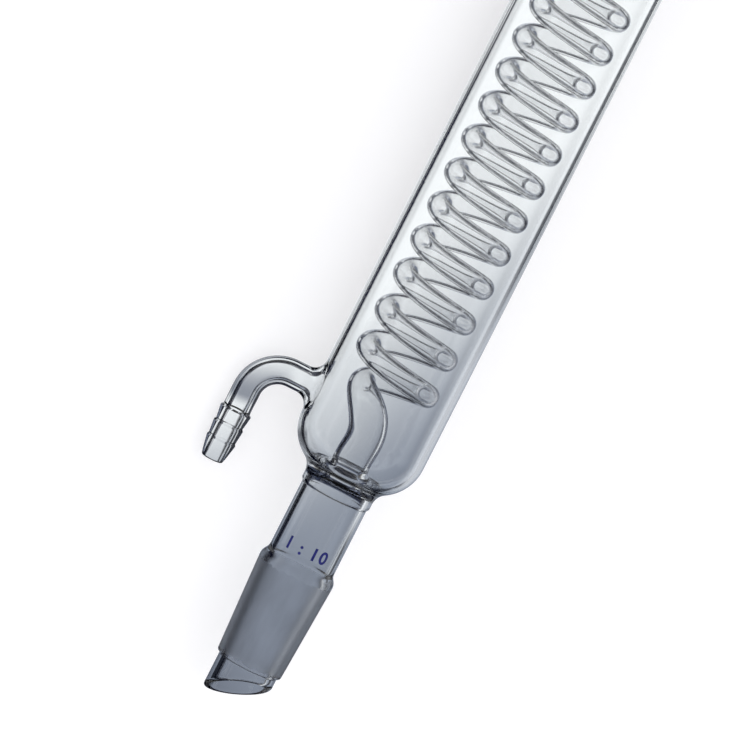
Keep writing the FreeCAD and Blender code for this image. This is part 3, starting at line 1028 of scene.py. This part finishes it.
def glass_material(finish):
    """Borosilicate glass, clear and fire polished, dull where it is ground, with painted shade where it turns
    away from the eye.
    """
    material, tree, surface = new_material("Borosilicate glass")
    feed(tree, surface, {"IOR": GLASS_IOR, "Transmission Weight": 1.0})
    ground = add(tree, "ShaderNodeAttribute", attribute_name="ground").outputs["Fac"]
    chips = sum_up(tree, "MULTIPLY", mottle(tree, CHIPS)["Mask"], CHIP_DEPTH)
    frosted = ramp_up(tree, sum_up(tree, "SUBTRACT", ground, chips), 0.0, FULLY_DULL)
    # Painted edge shade: the colour darkens towards the edge colour where the glass turns away from the eye;
    # the rim attribute sets from where, and how deep
    facing = add(tree, "ShaderNodeLayerWeight").outputs["Facing"]
    rim = add(tree, "ShaderNodeAttribute", attribute_name="rim").outputs["Fac"]
    turned = ramp_up(tree, facing, rim, sum_up(tree, "ADD", rim, RIM_WIDTH))
    depth = ramp_up(tree, rim, *RIM_DEPTH)
    clear = mix_colour(tree, sum_up(tree, "MULTIPLY", turned, depth), finish.clear, finish.edge)
    dark = shaded(finish.ground, WISP_SHADE)
    dull = mix_colour(tree, mottle(tree, WISPS)["Mask"], finish.ground, dark)
    light = add(tree, "ShaderNodeLightPath").outputs
    hidden = sum_up(tree, "MULTIPLY", light["Is Shadow Ray"], SHADOW_CLEAR)
    grit = sum_up(tree, "MULTIPLY", mottle(tree, GRIT)["Height"], frosted)
    relief = {"Strength": GRIT_STRENGTH, "Distance": GRIT_HEIGHT, "Height": grit}
    looks = {
        "Base Color": mix_colour(tree, frosted, clear, dull),
        "Roughness": sum_up(tree, "MULTIPLY", frosted, finish.ground_roughness),
        "Alpha": sum_up(tree, "SUBTRACT", 1.0, hidden),
        "Normal": add(tree, "ShaderNodeBump", relief).outputs[0],
    }
    feed(tree, surface, looks)
    return material


def enamel_material(finish):
    """Fired blue enamel."""
    material, tree, surface = new_material("Fired blue enamel")
    specks = mottle(tree, ENAMEL_SPECKS)["Mask"]
    thin = shaded(finish.mark, ENAMEL_SHADE)
    feed(tree, surface, {"Base Color": mix_colour(tree, specks, finish.mark, thin)})
    feed(tree, surface, {"Roughness": ramp_up(tree, specks, 0.0, 1.0, *ENAMEL_ROUGHNESS)})
    return material


def glass_rays(tree, light):
    """Where a ray came through glass, or off it, and met nothing dull before."""
    either = sum_up(tree, "MAXIMUM", light["Is Transmission Ray"], light["Is Glossy Ray"])
    first = sum_up(tree, "LESS_THAN", light["Diffuse Depth"], 0.5)
    return sum_up(tree, "MULTIPLY", either, first)


def bench_glow(tree, look):
    """Painted light and shade on the bench, seen only through glass: from white to grey, dark round the hook,
    and where a white glow is painted in place of a card.
    """
    spot = add(tree, "ShaderNodeNewGeometry").outputs["Position"]
    place = add(tree, "ShaderNodeSeparateXYZ", {0: spot}).outputs
    sideways = sum_up(tree, "SUBTRACT", place["Y"], GLOW_MIDDLE)
    lean = ramp_up(tree, place["X"], *GLOW_SLANT)
    slanted = sum_up(tree, "ADD", place["X"], sum_up(tree, "MULTIPLY", sideways, lean))
    glow = mix_colour(tree, ramp_up(tree, slanted, *GLOW_RISE), look.glow_low, look.glow_top)
    glow = mix_colour(tree, ramp_up(tree, slanted, *GLOW_FALL), look.glow_least, glow)
    beside = ramp_up(tree, sum_up(tree, "ABSOLUTE", sideways), *BESIDE)
    beyond = ramp_up(tree, place["X"], *BESIDE_ALONG)
    glow = mix_colour(tree, sum_up(tree, "MULTIPLY", beside, beyond), glow, look.glow_top)
    along = sum_up(tree, "MAXIMUM", sum_up(tree, "SUBTRACT", place["X"], HOOK_MIDDLE[0]))
    across = sum_up(tree, "SUBTRACT", place["Y"], HOOK_MIDDLE[1])
    flat = add(tree, "ShaderNodeCombineXYZ", {"X": along, "Y": across}).outputs[0]
    far = add(tree, "ShaderNodeVectorMath", {0: flat}, operation="LENGTH").outputs["Value"]
    # Painted shade round the hook's bend, under its leg and in the gap patch
    around = sum_up(tree, "MULTIPLY", ramp_up(tree, far, *HOOK_EDGE), patch(tree, place, HOOK_PATCH))
    glow = mix_colour(tree, around, glow, HOOK_SHADE)
    glow = mix_colour(tree, patch(tree, place, LEG_PATCH), glow, LEG_SHADE)
    return mix_colour(tree, patch(tree, place, GAP_PATCH), glow, HOOK_SHADE), patch(tree, place, PAINTED_GLOW_PATCH)


def bench_material(look):
    """Pale bench top. Through glass it shows painted light and shade, and a painted white glow."""
    material, tree, surface = new_material("Pale bench")
    glow, painted_glow = bench_glow(tree, look)
    light = add(tree, "ShaderNodeLightPath").outputs
    specks = mottle(tree, BENCH_SPECKS)["Mask"]
    plain = {
        "Base Color": mix_colour(tree, specks, look.bench, shaded(look.bench, BENCH_SHADE)),
        "Roughness": BENCH_ROUGHNESS,
        "Specular IOR Level": 0.0,
        "Emission Color": BENCH_LIGHT,
        "Emission Strength": light["Is Camera Ray"],
    }
    feed(tree, surface, plain)
    # Through glass the bench lets rays past, tinted with the painted light and shade, and glows white in the
    # painted glow's patch
    clear = add(tree, "ShaderNodeBsdfTransparent", {"Color": glow}).outputs[0]
    white = add(tree, "ShaderNodeEmission", {"Color": PAINTED_GLOW, "Strength": 1.0}).outputs[0]
    shown = add(tree, "ShaderNodeMixShader", {0: painted_glow, 1: clear, 2: white}).outputs[0]
    blend = add(tree, "ShaderNodeMixShader", {0: glass_rays(tree, light), 1: surface.outputs[0], 2: shown})
    feed(tree, tree.nodes["Material Output"], {"Surface": blend.outputs[0]})
    return material


def studio_axes(scene):
    """Directions from the glass to the viewer, along its axis and along its hose connections."""
    matrix = laid_down(scene).to_3x3()
    return matrix @ Vector((0, -1, 0)), matrix @ Vector((0, 0, 1)), matrix @ Vector((-1, 0, 0))


class CONDENSER_OT_glass(Operator):
    """Blows the jacket, coil, drop tubes, joints and hose connections as one glass"""

    bl_idname = "condenser.glass"
    bl_label = "Blow the glass"

    def execute(self, context):
        scene = context.scene
        skin = glass_skin(scene)
        used = sorted({index for face in skin.faces for index in face})
        slots = {index: slot for slot, index in enumerate(used)}
        matrix = laid_down(scene)
        mesh = bpy.data.meshes.new("condenser_glass")
        spots = [matrix @ skin.spots[index] for index in used]
        mesh.from_pydata(spots, [], [tuple(slots[index] for index in face) for face in skin.faces])
        ground = mesh.attributes.new("ground", "FLOAT", "POINT")
        # The rim attribute holds where the glass's painted edge shade starts
        painted_shade_starts = mesh.attributes.new("rim", "FLOAT", "POINT")
        for index, slot in slots.items():
            ground.data[slot].value = skin.ground[index]
            painted_shade_starts.data[slot].value = skin.painted_shade_starts[index]
        work = bmesh.new()
        work.from_mesh(mesh)
        bmesh.ops.recalc_face_normals(work, faces=work.faces)
        open_edges = [edge for edge in work.edges if len(edge.link_faces) != 2]
        if open_edges:
            raise RuntimeError(f"the glass has {len(open_edges)} open edges")
        for edge in work.edges:
            edge.smooth = edge.calc_face_angle() < SHARP_EDGE
        for face in work.faces:
            face.smooth = True
        if work.calc_volume(signed=True) < 0:
            bmesh.ops.reverse_faces(work, faces=work.faces)
        work.to_mesh(mesh)
        work.free()
        mesh.validate()
        piece = new_piece("condenser_glass", mesh, glass_material(scene.condenser_finish))
        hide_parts("coil_condenser")
        return {"FINISHED"}


class CONDENSER_OT_mark(Operator):
    """Prints plain numbers in blue enamel on the lower neck"""

    bl_idname = "condenser.mark"
    bl_label = "Print the mark"

    def execute(self, context):
        scene = context.scene
        finish = scene.condenser_finish
        letters = bpy.data.curves.new("mark", "FONT")
        letters.body = finish.mark_words
        letters.align_x = "CENTER"
        letters.size = finish.mark_height / NUMERAL_SHARE
        letters.offset = finish.mark_stroke
        letters.space_character = LETTER_SPACING
        letters.resolution_u = NUMERAL_STEPS
        helper = bpy.data.objects.new("mark_outline", letters)
        scene.collection.objects.link(helper)
        context.view_layer.update()
        flat = bpy.data.meshes.new_from_object(helper.evaluated_get(context.evaluated_depsgraph_get()))
        bpy.data.objects.remove(helper)
        work = bmesh.new()
        work.from_mesh(flat)
        reach = max(abs(vert.co.x) for vert in work.verts)
        for cut in range(1, MARK_CUTS):
            place = Vector((-reach + 2 * reach * cut / MARK_CUTS, 0, 0))
            parts = work.verts[:] + work.edges[:] + work.faces[:]
            bmesh.ops.bisect_plane(work, geom=parts, plane_co=place, plane_no=Vector((1, 0, 0)))
        bmesh.ops.solidify(work, geom=work.faces[:], thickness=MARK_THICKNESS)
        radius = scene.condenser_jacket.neck_radius
        matrix = laid_down(scene)
        lift = finish.mark_lift
        for vert in work.verts:
            out = radius + MARK_CLEARANCE + abs(vert.co.z)
            turn = vert.co.x / radius
            vert.co = matrix @ Vector((out * math.sin(turn), -out * math.cos(turn), lift + vert.co.y))
        bmesh.ops.recalc_face_normals(work, faces=work.faces)
        mesh = bpy.data.meshes.new("size_mark")
        work.to_mesh(mesh)
        work.free()
        piece = new_piece("size_mark", mesh, enamel_material(finish))
        return {"FINISHED"}


class CONDENSER_OT_stage(Operator):
    """Sets up the bench, the soft lights and the camera"""

    bl_idname = "condenser.stage"
    bl_label = "Set the stage"

    def execute(self, context):
        scene = context.scene
        look = scene.condenser_stage
        low = CAD_BOX[0][2]
        mesh = bpy.data.meshes.new("bench")
        sides = ((-1, -1), (1, -1), (1, 1), (-1, 1))
        corners = [(BENCH_HALF * x, BENCH_HALF * y, low) for x, y in sides]
        mesh.from_pydata(corners, [], [(0, 1, 2, 3)])
        mesh.materials.append(bench_material(look))
        bench = bpy.data.objects.new("bench", mesh)
        scene.collection.objects.link(bench)
        self.world(scene)
        self.lamps(scene)
        self.camera(scene, look)
        return {"FINISHED"}

    def world(self, scene):
        """A pale room. Glass also shows dark boards on all four sides of a broad pale panel."""
        world = bpy.data.worlds.new("Pale studio")
        scene.world = world
        world.use_nodes = True
        tree = world.node_tree
        away = add(tree, "ShaderNodeTexCoord").outputs["Generated"]
        _, axis, arms = studio_axes(scene)
        boards = 0.0
        for direction, edge in zip((arms, axis, -arms, -axis), BOARD_LEANS):
            lean = towards(tree, away, direction)
            end = ramp_up(tree, lean, *BOARD_END, 1.0, 0.0)
            board = sum_up(tree, "MULTIPLY", ramp_up(tree, lean, *edge), end)
            boards = sum_up(tree, "MAXIMUM", board, boards)
        down = towards(tree, away, (0, 0, -1))
        boards = sum_up(tree, "MULTIPLY", boards, ramp_up(tree, down, *BOARD_DEPTH))
        closed = ramp_up(tree, towards(tree, away, OPEN_WAY), *OPEN_EDGE, 1.0, 0.0)
        boards = sum_up(tree, "MULTIPLY", boards, closed)
        panel = mix_colour(tree, ramp_up(tree, down, *PANEL_FADE), BLACK, PANEL)
        light = add(tree, "ShaderNodeLightPath").outputs
        seen = mix_colour(tree, glass_rays(tree, light), PLAIN_ROOM, mix_colour(tree, boards, panel, BOARD))
        shown = mix_colour(tree, light["Is Camera Ray"], seen, WHITE)
        feed(tree, tree.nodes["Background"], {"Color": shown})

    def lamps(self, scene):
        for name, place, width, height, power in LAMPS:
            lamp = bpy.data.lights.new(name, "AREA")
            lamp.shape = "RECTANGLE"
            lamp.size = width
            lamp.size_y = height
            lamp.energy = power
            holder = bpy.data.objects.new(name, lamp)
            holder.location = place
            target = Vector(LAMP_TARGET) - Vector(place)
            holder.rotation_euler = target.to_track_quat("-Z", "Y").to_euler()
            holder.visible_glossy = False
            holder.visible_transmission = False
            scene.collection.objects.link(holder)

    def camera(self, scene, look):
        front, axis, arms = studio_axes(scene)
        back = front * math.cos(look.view_rise) + axis * math.sin(look.view_rise)
        rise = axis - back * axis.dot(back)
        rise.normalize()
        lean = look.view_lean
        right = rise * math.sin(lean) - arms * math.cos(lean)
        up = rise * math.cos(lean) + arms * math.sin(lean)
        centre = laid_down(scene) @ Vector(PICTURE_MIDDLE)
        sight = bpy.data.cameras.new("camera")
        sight.lens = look.lens
        sight.sensor_width = FILM_WIDTH
        far = look.picture_width * look.lens / FILM_WIDTH
        camera = bpy.data.objects.new("camera", sight)
        place = centre + back * far
        turn = Matrix((right, up, back)).transposed().to_4x4()
        camera.matrix_world = Matrix.Translation(place) @ turn
        sight.clip_end = SIGHT_END
        scene.collection.objects.link(camera)
        scene.camera = camera


class CONDENSER_PT_panel(Panel):
    """Lists the steps of the condenser"""

    bl_idname = "CONDENSER_PT_panel"
    bl_label = "Condenser"
    bl_space_type = "VIEW_3D"
    bl_region_type = "UI"
    bl_category = "Condenser"

    def draw(self, context):
        for step in STEPS:
            self.layout.operator(step.bl_idname)
        for name, _ in GROUPS:
            settings = getattr(context.scene, name)
            box = self.layout.box()
            for key in settings.__annotations__:
                box.prop(settings, key)


GROUPS = (
    ("condenser_joint", JointSizes),
    ("condenser_jacket", JacketSizes),
    ("condenser_coil", CoilSizes),
    ("condenser_hose", HoseSizes),
    ("condenser_finish", GlassFinish),
    ("condenser_stage", StageLook),
)
STEPS = (CONDENSER_OT_glass, CONDENSER_OT_mark, CONDENSER_OT_stage)


def register():
    for name, group in GROUPS:
        bpy.utils.register_class(group)
        setattr(bpy.types.Scene, name, PointerProperty(type=group))
    for step in STEPS:
        bpy.utils.register_class(step)
    bpy.utils.register_class(CONDENSER_PT_panel)


def unregister():
    bpy.utils.unregister_class(CONDENSER_PT_panel)
    for step in reversed(STEPS):
        bpy.utils.unregister_class(step)
    for name, group in reversed(GROUPS):
        delattr(bpy.types.Scene, name)
        bpy.utils.unregister_class(group)


def main():
    register()
    bpy.ops.condenser.glass()
    bpy.ops.condenser.mark()
    bpy.ops.condenser.stage()
    scene = bpy.context.scene
    scene.view_settings.view_transform = "Standard"
    for limit in ("max_bounces", "transmission_bounces", "transparent_max_bounces"):
        setattr(scene.cycles, limit, LIGHT_BOUNCES)


if __name__ == "__main__":
    main()
